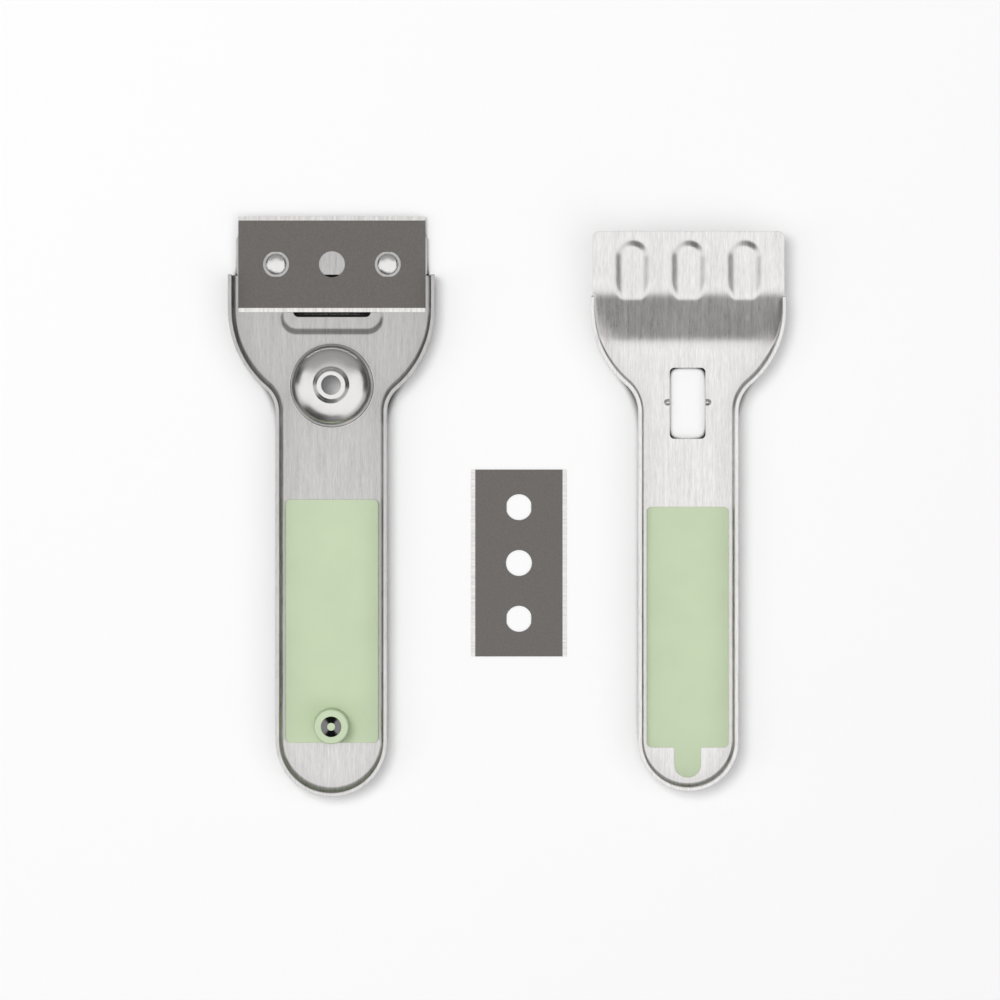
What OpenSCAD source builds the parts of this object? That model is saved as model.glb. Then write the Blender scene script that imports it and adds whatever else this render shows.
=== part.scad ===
/* [Sheet and stance] */
// thickness of the pressed steel sheet
sheet_t = 0.8; // [0.6:0.05:1.2]
// how far the grips stand proud of the outer faces
grip_out = 1.0; // [0.6:0.1:2]
// gap between the nested walls of the two halves
nest_clear = 0.5; // [0.3:0.05:0.9]
// distance between the centre lines of the two halves, laid open
layout_pitch = 81.8; // [74:0.1:100]
// from the holder's centre line across to the spare blade
spare_dx = 43; // [40:0.5:46]
// from the stud line down to the middle of the spare blade
spare_dy = 68.7; // [40:0.5:90]

/* [Blades] */
// length of a blade along its edge
blade_len = 43; // [39:0.5:44]
// width of a blade from edge to edge
blade_w = 22; // [20:0.5:24]
// thickness of a blade
blade_t = 0.25; // [0.15:0.05:0.4]
// width of the ground strip along each edge
bevel_w = 1.0; // [0.6:0.1:1.6]
// diameter of the three holes
hole_d = 6.0; // [5.4:0.1:6.6]
// distance from hole to hole
hole_pitch = 12.85; // [12:0.05:13.4]
// width across the flats of the two outer holes
hole_flat = 5.7; // [5.2:0.1:6]

/* [Holder half] */
// gap from each end of the blade to the head walls
blade_side = 1.35; // [1:0.05:4]
// outer width of the handle
handle_w = 25.5; // [23:0.1:30]
// wall height over the outer face of the floor
holder_wall = 6.5; // [5:0.1:9]
// inner radius where the floor turns up into the wall
holder_fillet = 1.3; // [0.9:0.1:1.4]
// from the stud line to the outer end of the handle
holder_len = 122.1; // [116:0.1:140]
// from the stud line up to the edge of the blade plate
plate_up = 6.9; // [5:0.1:8]
// how far the blade plate stands out past each end of the blade
plate_over = 0.45; // [0.1:0.05:0.6]
// from the stud line down to the ends of the head walls
wall_start = 2.55; // [2:0.05:4]
// radius of the shoulder
shoulder_r = 24; // [20:0.5:28]
// radius of the neck
neck_r = 7; // [5:0.5:10]
// from the stud line down to the start of the shoulder
shoulder_y = 10.4; // [9:0.1:12]

/* [Studs, opening and scoop] */
// diameter of a locating stud
stud_d = 4.8; // [4.2:0.1:5.2]
// height of a locating stud over the plate
stud_h = 1.2; // [1:0.05:1.2]
// width of the opening under the blade
slot_w = 17.8; // [14:0.1:19]
// from the stud line down to the lower edge of the opening
slot_low = 11.8; // [11.4:0.1:12.2]
// height of the opening
slot_h = 9.7; // [6:0.1:10]
// width of the bevel along the upper edge of the opening
lip_w = 1.1; // [0.6:0.1:1.4]
// drop of that bevel
lip_drop = 0.15; // [0.1:0.05:0.4]
// width of the scoop below the opening
scoop_w = 24.4; // [21:0.1:27]
// from the stud line down to the lower edge of the scoop
scoop_low = 16.2; // [15.4:0.1:16.8]
// depth of the scoop under the floor
scoop_deep = 0.9; // [0.5:0.05:0.95]

/* [Dome] */
// from the stud line down to the dome
dome_y = 27.9; // [27:0.1:29]
// diameter of the dome at the floor
dome_d = 19; // [17:0.1:20]
// diameter of the collar that runs in the window
collar_d = 7.9; // [7:0.1:9]
// diameter of the hole through the dome
dome_bore = 4.5; // [3.5:0.1:5]

/* [Cover half] */
// height from the outer face of the floor to the clamp plate
cover_deep = 7.5; // [6.5:0.1:8.5]
// how far the wall rims lie under the clamp plate
rim_drop = 0.35; // [0.3:0.05:0.6]
// inner radius where the cover floor turns up into the wall
cover_fillet = 0.9; // [0.6:0.1:1]
// from the stud line up to the edge of the clamp plate
clamp_up = 7.3; // [6:0.1:9]
// from the stud line down to the ends of the cover walls
cover_start = 7.6; // [7:0.1:8.4]
// from the stud line down to the top of the slope
slope_top = 3.5; // [3.3:0.1:4.5]
// from the stud line down to the foot of the slope
slope_foot = 20.6; // [19.5:0.1:21]
// travel of the cover along the holder
guard_travel = 8.1; // [6:0.1:8.6]
// width of the window
window_w = 8.2; // [8.2:0.1:10]
// end clearance of the collar in the window
window_clear = 0.15; // [0.1:0.05:0.3]
// depth of the three stud recesses
recess_deep = 1.3; // [1.25:0.05:2]
// depth of a recess where it runs out into the slope
recess_out = 1.1; // [1.05:0.05:1.2]
// from the stud line up to the upper end of a recess
recess_up = 5.9; // [5.7:0.1:6.2]
// from the stud line down to the lower end of a recess
recess_low = 7.2; // [6.5:0.1:8]
// width of a recess at the clamp plate
recess_w = 8.4; // [8:0.1:9]
// width of the flat bottom of a recess
recess_flat = 4.3; // [3.6:0.1:5]
// height of the two click bumps beside the window
bump_h = 0.4; // [0.2:0.05:0.4]

/* [Grips and post] */
// corner radius of the inner grip plate
pad_corner = 1.1; // [0.6:0.1:2]
// thickness of the inner grip plate over the floor
pad_t = 0.5; // [0.3:0.05:0.8]
// gap from the inner grip plate to the walls
pad_gap = 1.3; // [1.3:0.05:2]
// how far the inner grip plate laps over each side of its floor window
lap_side = 2.5; // [1.5:0.1:4]
// how far the inner grip plate laps over each end of its floor window
lap_end = 4; // [2:0.1:8]
// how far the outer grip lies inside the outline of the inner plate
grip_in = 0.8; // [0.4:0.1:2]
// corner radius of the outer grip
grip_corner = 4; // [2:0.5:6]
// width of a finger groove across the outer grip
groove_w = 1.2; // [0.8:0.1:2]
// depth of a finger groove
groove_deep = 0.5; // [0.3:0.05:0.6]
// from the stud line down to the holder grip plate
pad_top = 54.1; // [50:0.1:60]
// length of the holder grip plate
pad_len = 55.9; // [50:0.1:56]
// from the stud line down to the cover grip plate
cpad_top = 55.8; // [50:0.1:60]
// length of the cover grip plate
cpad_len = 55.3; // [50:0.1:56]
// width of the tongue of the cover grip
tongue_w = 6; // [5:0.1:8]
// length of the tongue
tongue_len = 6.9; // [5:0.1:7.2]
// diameter of the spacer post
post_d = 8; // [7:0.1:9]
// from the stud line down to the post
post_y = 106.1; // [104:0.1:108]
// outer diameter of the ring in the post
ring_d = 4.7; // [4:0.1:5.5]
// diameter of the core inside the ring
core_d = 1.8; // [1.4:0.1:2.4]
// height of the ring
ring_h = 2; // [1:0.1:3]

/* [Hidden] */
$fn = 48;
eps = 0.02;
fit_gap = 0.1;
fil_n = 5;
hz = grip_out;
floor_z = hz + sheet_t;
holder_rim = hz + holder_wall;
clamp_z = hz + cover_deep;
cover_rim = clamp_z - rim_drop;
blade_top = floor_z + blade_t;
closed_z = clamp_z + blade_top + fit_gap;
cover_floor_low = closed_z - floor_z;
collar_z = cover_floor_low + sheet_t - 0.2;
shoulder_z = cover_floor_low - bump_h - 0.2;
post_z = closed_z - floor_z - pad_t - 0.2;
skin = sheet_t + nest_clear;
head_w = blade_len + 2 * (blade_side + sheet_t);
plate_w = blade_len + 2 * plate_over;
head_a = head_w / 2;
handle_b = handle_w / 2;
cover_a = head_a - skin;
cover_b = handle_b - skin;
holder_x = -layout_pitch / 2 + (head_a - cover_a) / 2;
cover_x = holder_x + layout_pitch;
stud_y = (holder_len - blade_w / 2) / 2;
spare_x = holder_x + spare_dx;
spare_y = stud_y - spare_dy;

window_l = collar_d + guard_travel + 2 * window_clear;
window_y = -dome_y - guard_travel / 2;
turn = acos(1 - (head_a - handle_b) / (shoulder_r + neck_r));
neck_y = -shoulder_y - (shoulder_r + neck_r) * sin(turn);
end_y = -holder_len + handle_b;
steel = [0.78, 0.78, 0.79];
green = [0.77, 0.84, 0.70];

function ease(u, k) =
    u <= 0 ? 0 : u >= 1 ? 1
    : u < k ? u * u / (2 * k * (1 - k))
    : u > 1 - k ? 1 - (1 - u) * (1 - u) / (2 * k * (1 - k))
    : (u - k / 2) / (1 - k);
function cover_top(y) =
    floor_z + (clamp_z - floor_z) * ease((y + slope_foot) / (slope_foot - slope_top), 0.2);
function cover_rise(y) = (cover_top(y + 0.01) - cover_top(y - 0.01)) / 0.02;
function cover_low(y) = cover_top(y) - sheet_t * sqrt(1 + cover_rise(y) * cover_rise(y));

// half of the outline, moved in by d, from the wall ends round to the tip of the handle
function half_line(d, top, heads) = concat(
    [for (i = [0:heads - 1]) [head_a - d, -top - (shoulder_y - top) * i / heads]],
    [for (i = [0:14]) let (q = turn * i / 14)
        [head_a - shoulder_r + (shoulder_r - d) * cos(q), -shoulder_y - (shoulder_r - d) * sin(q)]],
    [for (i = [1:7]) let (q = turn * (1 - i / 7))
        [handle_b + neck_r - (neck_r + d) * cos(q), neck_y + (neck_r + d) * sin(q)]],
    [for (i = [0:14]) let (q = 90 * i / 14)
        [(handle_b - d) * cos(q), end_y - (handle_b - d) * sin(q)]]);

// rings of the pressed tray, from the outer floor up over the rim and down to the inner floor
function fillet_at(y, z0, r, rim) = max(0.04, min(r, 0.85 * (rim - z0)));
function tray_ring(j, out, top, heads, cover, r, rim) =
    let (m = fil_n, up = j <= m ? j : j == m + 1 ? m : j == m + 2 ? m : 2 * m + 3 - j)
    let (inner = j > m + 1, q = 90 * up / m, base = half_line(out, top, heads))
    [for (i = [0:len(base) - 1])
        let (y0 = base[i][1], f0 = cover ? cover_top(y0) : floor_z)
        let (rim0 = max(rim, f0 + 0.12), ri = fillet_at(y0, f0, r, rim0))
        let (ro = min(r + sheet_t, 0.9 * (rim0 - f0 + sheet_t)))
        let (d = inner ? sheet_t + ri * (1 - sin(q)) : ro * (1 - sin(q)))
        let (p = half_line(out + (j == m + 1 ? 0 : j == m + 2 ? sheet_t : d), top, heads)[i])
        let (zi = cover ? cover_top(p[1]) : floor_z, zo = cover ? cover_low(p[1]) : hz)
        [p[0], p[1], j == m + 1 || j == m + 2 ? rim0 : inner ? zi + ri * (1 - cos(q))
            : zo + ro * (1 - cos(q))]];

module tray(out, top, heads, cover, r, rim) {
    rings = 2 * fil_n + 4;
    half = [for (j = [0:rings - 1]) tray_ring(j, out, top, heads, cover, r, rim)];
    m = len(half[0]);
    n = 2 * m - 1;
    pts = [for (j = [0:rings - 1]) for (i = [0:n - 1])
        let (v = half[j][i < m ? i : 2 * m - 2 - i]) i < m ? v : [-v[0], v[1], v[2]]];
    side = [for (j = [0:rings - 2]) for (i = [0:n - 2]) for (k = [0, 1])
        k == 0 ? [j * n + i, j * n + i + 1, (j + 1) * n + i + 1]
        : [j * n + i, (j + 1) * n + i + 1, (j + 1) * n + i]];
    low = [for (i = [0:m - 2]) for (k = [0, 1]) if (k == 0 || i < m - 2)
        k == 0 ? [i, n - 1 - i, i + 1] : [i + 1, n - 1 - i, n - 2 - i]];
    high = [for (f = low) [for (v = [2, 1, 0]) f[v] + (rings - 1) * n]];
    caps = [for (j = [0:rings / 2 - 2]) for (s = [0, 1]) for (k = [0, 1])
        let (a = j * n + s * (n - 1), b = (j + 1) * n + s * (n - 1))
        let (c = (rings - 2 - j) * n + s * (n - 1), e = (rings - 1 - j) * n + s * (n - 1))
        let (f = k == 0 ? [a, b, c] : [a, c, e]) s == 0 ? f : [f[2], f[1], f[0]]];
    base = (rings - 1) * n;
    mid = [[0, base, base + n - 1], [0, base + n - 1, n - 1]];
    polyhedron(pts, concat(side, low, high, caps, mid), convexity = 8);
}

module rrect(w, h, r) {
    square([w - 2 * r, h], center = true);
    square([w, h - 2 * r], center = true);
    for (x = [-1, 1])
        for (y = [-1, 1])
            translate([x * (w / 2 - r), y * (h / 2 - r)]) circle(r, $fn = 32);
}

module stadium(w, y0, y1) {
    translate([0, y0 + w / 2]) circle(w / 2, $fn = 32);
    translate([0, y1 - w / 2]) circle(w / 2, $fn = 32);
    translate([-w / 2, y0 + w / 2]) square([w, y1 - y0 - w]);
}

// a pressed hollow with sloping sides: wide at z1, narrow at z0
module pressed(w0, w1, a0, a1, b0, b1, z0, z1) {
    hull() {
        translate([0, 0, z0]) linear_extrude(eps) stadium(w0, a0, b0);
        translate([0, 0, z1 - eps]) linear_extrude(eps) stadium(w1, a1, b1);
    }
}

function bell(r0, r1, z0, z1, n) =
    [for (i = [0:n]) [r1 + (r0 - r1) * cos(90 * i / n), z0 + (z1 - z0) * sin(90 * i / n)]];

module dome_solid() {
    foot = 0.3;
    round_top = 0.7;
    rotate_extrude($fn = 96)
        polygon(concat(
            [[0, hz + 0.1], [dome_d / 2 + foot, hz + 0.1], [dome_d / 2 + foot, floor_z],
                [dome_d / 2 + foot * 0.3, floor_z + foot * 0.3]],
            bell(dome_d / 2, collar_d / 2 + 0.35, floor_z + foot, shoulder_z, 12),
            [[collar_d / 2, shoulder_z + 0.15]],
            [for (i = [0:4]) let (q = 90 * i / 4)
                [collar_d / 2 - round_top * (1 - cos(q)), collar_z - round_top * (1 - sin(q))]],
            [[0, collar_z]]));
}

module dome_hollow() {
    rotate_extrude($fn = 96)
        polygon(concat(
            [[0, hz - 1], [dome_d / 2 - sheet_t + 0.25, hz - 1], [dome_d / 2 - sheet_t + 0.25, hz]],
            bell(dome_d / 2 - sheet_t, collar_d / 2 - sheet_t + 0.3, floor_z, shoulder_z - sheet_t, 10),
            [[collar_d / 2 - sheet_t, shoulder_z - sheet_t], [collar_d / 2 - sheet_t, collar_z - sheet_t],
                [0, collar_z - sheet_t]]));
    cylinder(h = collar_z + 1, d = dome_bore, $fn = 64);
}

module plate(w, top, bottom, z, r) {
    translate([0, 0, z])
        linear_extrude(sheet_t)
            intersection() {
                translate([0, (top - bottom - 4 * r) / 2]) rrect(w, top + bottom + 4 * r, r);
                translate([-w, -bottom]) square([2 * w, top + bottom + 1]);
            }
}

function grip_w(b) = 2 * (b - sheet_t - pad_gap);

module grip_lock(top, length, b, z, h) {
    translate([0, -top - length / 2, z])
        linear_extrude(h)
            rrect(grip_w(b) - 2 * lap_side, length - 2 * lap_end, lap_side * 0.8);
}

module holder_shell() {
    color(steel)
        translate([holder_x, stud_y, 0])
            difference() {
                union() {
                    tray(0, wall_start, 1, false, holder_fillet, holder_rim);
                    plate(plate_w, plate_up, wall_start, hz, 1.4);
                    translate([0, -dome_y, 0]) dome_solid();
                    scoop(sheet_t, 0);
                }
                translate([0, -dome_y, 0]) dome_hollow();
                scoop(0, 1);
                translate([0, -slot_low + slot_h / 2, 0])
                    linear_extrude(hz + 2 * sheet_t) rrect(slot_w, slot_h, 1.2);
                slot_lip();
                grip_lock(pad_top, pad_len, handle_b, 0, floor_z + 1);
            }
}

// the bevel along the upper edge of the opening
module slot_lip() {
    translate([0, slot_h - slot_low, floor_z])
        rotate([90, 0, 90])
            translate([0, 0, -slot_w / 2])
                linear_extrude(slot_w)
                    polygon([[lip_w, 0], [lip_w, 1], [-1, 1], [-1, -lip_drop], [0, -lip_drop]]);
}

// the lanced scoop: a shallow dish whose upper part is cut away by the opening
module scoop(grow, cut) {
    low = hz + sheet_t - scoop_deep - grow;
    rim = cut == 1 ? floor_z + eps : floor_z - 0.05;
    tall = 2 * (scoop_low - slot_low);
    inset = scoop_deep * 1.2;
    translate([0, -slot_low, 0])
        rotate([0, 0, -90])
            pressed(tall - 2 * inset + grow, tall + grow, -scoop_w / 2 + inset - grow / 2,
                -scoop_w / 2 - grow / 2, scoop_w / 2 - inset + grow / 2, scoop_w / 2 + grow / 2, low, rim);
}

module locating_studs() {
    color([0.86, 0.86, 0.87])
        translate([holder_x, stud_y, floor_z])
            for (s = [-1, 1])
                translate([s * hole_pitch, 0, 0])
                    rotate_extrude($fn = 64)
                        polygon(concat([[0, 0], [stud_d / 2, 0]],
                            bell(stud_d / 2, 0, 0.45, stud_h, 8)));
}

module blade() {
    difference() {
        rotate([90, 0, 90])
            translate([0, 0, -blade_len / 2])
                linear_extrude(blade_len)
                    polygon([[-blade_w / 2, blade_t / 2 - 0.02], [-blade_w / 2 + bevel_w, 0],
                        [blade_w / 2 - bevel_w, 0], [blade_w / 2, blade_t / 2 - 0.02],
                        [blade_w / 2, blade_t / 2 + 0.02], [blade_w / 2 - bevel_w, blade_t],
                        [-blade_w / 2 + bevel_w, blade_t], [-blade_w / 2, blade_t / 2 + 0.02]]);
        translate([0, 0, -1]) cylinder(h = 2 + blade_t, d = hole_d, $fn = 64);
        for (s = [-1, 1])
            translate([s * hole_pitch, 0, -1])
                linear_extrude(2 + blade_t)
                    intersection() {
                        circle(d = hole_d, $fn = 64);
                        square([hole_d, hole_flat], center = true);
                    }
    }
}

module fitted_blade() {
    color([0.44, 0.42, 0.41]) translate([holder_x, stud_y, floor_z]) blade();
}

module spare_blade() {
    color([0.44, 0.42, 0.41]) translate([spare_x, spare_y, 0]) rotate([0, 0, 90]) blade();
}

module grip_body(top, length, b) {
    w = grip_w(b);
    grip_lock(top, length, b, hz, sheet_t);
    translate([0, -top - length / 2, 0]) {
        translate([0, 0, floor_z]) linear_extrude(pad_t) rrect(w, length, pad_corner);
        difference() {
            linear_extrude(hz) rrect(w - 2 * grip_in, length - 4 * grip_in, grip_corner);
            for (i = [-5:5])
                translate([0, i * (length - 4 * grip_in - 2 * grip_corner) / 12, groove_deep / 2 - eps])
                    cube([w - 2 * grip_in - grip_corner, groove_w, groove_deep + eps], center = true);
        }
    }
}

module holder_grip() {
    color(green)
        translate([holder_x, stud_y, 0]) {
            grip_body(pad_top, pad_len, handle_b);
            translate([0, -post_y, 0])
                difference() {
                    union() {
                        translate([0, 0, floor_z])
                            cylinder(h = post_z - floor_z - 0.3, d1 = post_d + 0.4, d2 = post_d, $fn = 64);
                        translate([0, 0, post_z - 0.3])
                            cylinder(h = 0.3, d1 = post_d, d2 = post_d - 0.5, $fn = 64);
                    }
                    translate([0, 0, post_z - ring_h])
                        difference() {
                            cylinder(h = ring_h + 1, d = ring_d, $fn = 64);
                            translate([0, 0, -1]) cylinder(h = ring_h + 3, d = core_d, $fn = 48);
                        }
                }
        }
}

module post_ring() {
    color([0.70, 0.70, 0.72])
        translate([holder_x, stud_y - post_y, post_z - ring_h])
            difference() {
                cylinder(h = ring_h, d = ring_d, $fn = 64);
                translate([0, 0, -1]) cylinder(h = ring_h + 2, d = core_d, $fn = 48);
            }
}

module cover_head() {
    ys = [for (i = [0:10]) -cover_start + (cover_start - slope_top + 0.4) * i / 10];
    intersection() {
        rotate([90, 0, 90])
            translate([0, 0, -cover_a])
                linear_extrude(2 * cover_a)
                    polygon(concat([for (y = ys) [y, cover_low(y)]],
                        [[clamp_up, clamp_z - sheet_t], [clamp_up, clamp_z]],
                        [for (i = [10:-1:0]) [ys[i], cover_top(ys[i])]]));
        translate([0, 0, hz])
            linear_extrude(cover_deep + 1)
                translate([0, clamp_up / 2 - cover_start])
                    rrect(2 * cover_a - sheet_t, clamp_up + 2 * cover_start, 1.4);
    }
}

// one pressed recess for a stud, with a shallower outlet into the slope
module recess(grow, cut) {
    z1 = cut == 1 ? clamp_z + eps : clamp_z - 0.05;
    w1 = recess_w + grow * 0.8;
    w0 = recess_flat + grow * 0.8;
    g = grow * 0.4;
    side = (recess_w - recess_flat) / 2;
    share = recess_out / recess_deep;
    pressed(w0, w1, side - recess_low - g, -recess_low - g, recess_up - side * 1.27 + g,
        recess_up + g, clamp_z - recess_deep - grow, z1);
    translate([0, -side * 2, 0])
        rotate([90, 0, 0])
            linear_extrude(recess_low)
                polygon([[-w1 / 2, z1], [w1 / 2, z1],
                    [w0 / 2 + side * (1 - share), clamp_z - recess_out - grow],
                    [-w0 / 2 - side * (1 - share), clamp_z - recess_out - grow]]);
}

module cover_shell() {
    color(steel)
        translate([cover_x, stud_y, 0])
            difference() {
                union() {
                    tray(skin, cover_start, 3, true, cover_fillet, cover_rim);
                    cover_head();
                    for (s = [-1:1])
                        translate([s * hole_pitch, 0, 0])
                            intersection() {
                                recess(sheet_t, 0);
                                slope_body();
                            }
                    for (s = [-1, 1]) bump(s);
                }
                for (s = [-1:1]) translate([s * hole_pitch, 0, 0]) recess(0, 1);
                translate([0, window_y, hz - 1])
                    linear_extrude(sheet_t + 3) rrect(window_w, window_l, 1);
                grip_lock(cpad_top, cpad_len, cover_b, 0, floor_z + 1);
            }
}

// everything under the upper face of the slope, to trim the recess walls
module slope_body() {
    n = 16;
    ys = [for (i = [0:n]) -slope_foot + (slope_foot - slope_top) * i / n];
    rotate([90, 0, 90])
        translate([0, 0, -6])
            linear_extrude(12)
                polygon(concat([for (y = ys) [y, cover_top(y) - 0.05]],
                    [[clamp_up, clamp_z - 0.05], [clamp_up, hz], [-slope_foot, hz]]));
}

module bump(side) {
    r = 0.9;
    x0 = window_w / 2 - 0.1;
    translate([0, window_y + 0.2, floor_z + bump_h - r])
        intersection() {
            union() {
                rotate([0, side * 90, 0]) translate([0, 0, x0]) cylinder(h = 1.1, r = r, $fn = 48);
                translate([side * (x0 + 1.1), 0, 0]) sphere(r, $fn = 48);
            }
            translate([-window_w, -2 * r, r - bump_h - 0.3]) cube([2 * window_w, 4 * r, 2 * r]);
        }
}

module cover_grip() {
    color(green)
        translate([cover_x, stud_y, 0]) {
            grip_body(cpad_top, cpad_len, cover_b);
            translate([0, -cpad_top - cpad_len, floor_z])
                linear_extrude(pad_t)
                    stadium(tongue_w, -tongue_len, tongue_w);
        }
}

holder_shell();
locating_studs();
holder_grip();
post_ring();
fitted_blade();
spare_blade();
cover_shell();
cover_grip();
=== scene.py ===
"""A ceramic hob scraper laid open: holder half, cover half and spare blade."""

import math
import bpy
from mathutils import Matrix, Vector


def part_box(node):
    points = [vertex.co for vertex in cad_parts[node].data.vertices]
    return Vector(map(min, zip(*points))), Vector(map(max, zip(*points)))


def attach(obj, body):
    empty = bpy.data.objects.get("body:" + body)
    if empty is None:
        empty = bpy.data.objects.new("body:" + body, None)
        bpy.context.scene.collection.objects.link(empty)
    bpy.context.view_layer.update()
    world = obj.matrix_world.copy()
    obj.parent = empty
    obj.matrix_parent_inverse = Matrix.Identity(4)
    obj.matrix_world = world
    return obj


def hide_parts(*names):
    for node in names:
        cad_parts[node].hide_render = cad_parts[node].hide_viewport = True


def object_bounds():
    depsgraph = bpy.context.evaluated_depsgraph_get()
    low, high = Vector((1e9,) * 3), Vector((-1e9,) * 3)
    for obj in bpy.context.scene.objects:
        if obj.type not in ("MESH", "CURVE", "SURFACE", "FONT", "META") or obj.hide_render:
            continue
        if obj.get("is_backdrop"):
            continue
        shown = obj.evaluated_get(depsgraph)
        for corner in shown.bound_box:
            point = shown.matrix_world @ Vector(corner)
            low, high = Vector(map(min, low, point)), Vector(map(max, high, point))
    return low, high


bl_info = {
    "name": "Ceramic Hob Scraper",
    "version": (1, 0, 0),
    "blender": (4, 5, 0),
    "location": "View3D > Sidebar > Scraper",
    "description": "Builds the two pressed halves of a hob scraper with their finishes, lights and camera",
    "category": "Add Mesh",
}

import bmesh
import bpy
from mathutils import Vector

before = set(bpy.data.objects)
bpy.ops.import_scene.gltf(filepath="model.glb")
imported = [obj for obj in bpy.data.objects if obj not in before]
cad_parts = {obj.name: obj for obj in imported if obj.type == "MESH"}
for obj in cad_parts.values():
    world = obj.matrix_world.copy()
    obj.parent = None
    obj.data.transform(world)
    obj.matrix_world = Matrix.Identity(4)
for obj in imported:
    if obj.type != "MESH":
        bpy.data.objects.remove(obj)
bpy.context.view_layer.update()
PI = math.pi
SAME = 1e-6  # two places, or two heights, that are nearer than this are the same


# Helpers


def pick_only(obj):
    """Makes obj the only selected object, and the active one."""
    bpy.ops.object.select_all(action="DESELECT")
    obj.select_set(True)
    bpy.context.view_layer.objects.active = obj


def pick_vertices(obj, test):
    """In edit mode, selects exactly the vertices whose place passes the test."""
    bpy.ops.mesh.select_mode(type="VERT")
    bpy.ops.mesh.select_all(action="DESELECT")
    mesh = bmesh.from_edit_mesh(obj.data)
    for vertex in mesh.verts:
        vertex.select_set(bool(test(vertex.co)))
    mesh.select_flush_mode()
    bmesh.update_edit_mesh(obj.data)


def pick_edges(obj, test):
    """In edit mode, selects exactly the edges that pass the test."""
    bpy.ops.mesh.select_mode(type="EDGE")
    bpy.ops.mesh.select_all(action="DESELECT")
    mesh = bmesh.from_edit_mesh(obj.data)
    for edge in mesh.edges:
        edge.select_set(bool(test(edge)))
    bmesh.update_edit_mesh(obj.data)


def edit_whole(obj):
    """Opens obj in edit mode with everything selected."""
    pick_only(obj)
    bpy.ops.object.mode_set(mode="EDIT")
    bpy.ops.mesh.select_all(action="SELECT")


def apply_place(obj):
    """Keeps the shape where it is and puts the object itself at the origin."""
    pick_only(obj)
    bpy.ops.object.transform_apply(location=True, rotation=True, scale=True)


def start_vertex(name, place):
    """A mesh of one vertex, left open in edit mode with the vertex selected."""
    bpy.ops.mesh.primitive_plane_add(size=0.001, location=place)
    obj = bpy.context.object
    obj.name = name
    apply_place(obj)
    bpy.ops.object.mode_set(mode="EDIT")
    bpy.ops.mesh.select_mode(type="VERT")
    bpy.ops.mesh.select_all(action="SELECT")
    bpy.ops.mesh.merge(type="CENTER")
    return obj


def extrude(step, count=1):
    """Extrudes what is selected by step, count times."""
    for _ in range(count):
        bpy.ops.mesh.extrude_region_move(TRANSFORM_OT_translate={"value": step})


def extrude_rows(y, half, rows):
    """Extrudes the selected row of vertices from y and half width through rows of the same two."""
    for next_y, next_half in rows:
        extrude((0, next_y - y, 0))
        bpy.ops.transform.resize(value=(next_half / half, 1, 1), center_override=(0, 0, 0))
        y, half = next_y, next_half


def extrude_through(x, z, points):
    """Extrudes the selected vertex, at x and z, through points of x and z. Gives the last x."""
    for next_x, next_z in points:
        extrude((next_x - x, 0, next_z - z))
        x, z = next_x, next_z
    return x


def spin(centre, axis, degrees, steps):
    """Extrudes what is selected along an arc. A positive angle goes clockwise seen against the axis."""
    bpy.ops.mesh.spin(steps=steps, angle=math.radians(degrees), center=centre, axis=axis)


def apply_modifier(obj, kind, **settings):
    """Adds a modifier with these settings and applies it."""
    pick_only(obj)
    bpy.ops.object.modifier_add(type=kind)
    modifier = obj.modifiers[-1]
    for key, value in settings.items():
        setattr(modifier, key, value)
    bpy.ops.object.modifier_apply(modifier=modifier.name)


def cut_away(obj, cutter):
    """Takes the cutter's shape out of obj and removes the cutter."""
    apply_modifier(obj, "BOOLEAN", operation="DIFFERENCE", solver="EXACT", object=cutter)
    pick_only(cutter)
    bpy.ops.object.delete()


def close_gaps(obj):
    """Fills the small gaps that a cut can leave where it runs along an edge."""
    edit_whole(obj)
    bpy.ops.mesh.remove_doubles(threshold=1e-7)
    bpy.ops.mesh.fill_holes(sides=8)
    bpy.ops.object.mode_set(mode="OBJECT")


def join_to(obj, others):
    """Joins the others to obj."""
    pick_only(obj)
    for other in others:
        other.select_set(True)
    bpy.ops.object.join()


def smooth(obj, degrees=35):
    """Shades obj smooth except where its faces meet at more than this angle."""
    pick_only(obj)
    bpy.ops.object.shade_smooth_by_angle(angle=math.radians(degrees))


def put_in_place(obj, x, y):
    """Moves a piece from its own centre line to its place and keeps the object at the origin."""
    obj.location = (x, y, 0)
    apply_place(obj)


def floor_cutter(width, length, y, floor, radius):
    """A block across the centre line that cuts through the floor, with its four upright edges rounded."""
    low, high = -CUT_UNDER, floor + CUT_OVER
    middle = (0, y, (low + high) / 2)
    bpy.ops.mesh.primitive_cube_add(size=1, location=middle, scale=(width, length, high - low))
    block = bpy.context.object
    apply_place(block)
    bpy.ops.object.mode_set(mode="EDIT")
    pick_edges(block, lambda edge: abs(edge.verts[0].co.z - edge.verts[1].co.z) > (high - low) / 2)
    bpy.ops.mesh.bevel(offset=radius, segments=8, affect="EDGES")
    bpy.ops.object.mode_set(mode="OBJECT")
    return block


def eased(t):
    """0 to 1 with a soft start and a soft end."""
    t = min(1.0, max(0.0, t))
    return t * t * (3 - 2 * t)


def lower_of(a, b, soft):
    """The lower of two heights, blended over soft."""
    h = min(1.0, max(0.0, 0.5 + 0.5 * (b - a) / soft))
    return b + (a - b) * h - soft * h * (1 - h)


# Sizes


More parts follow.
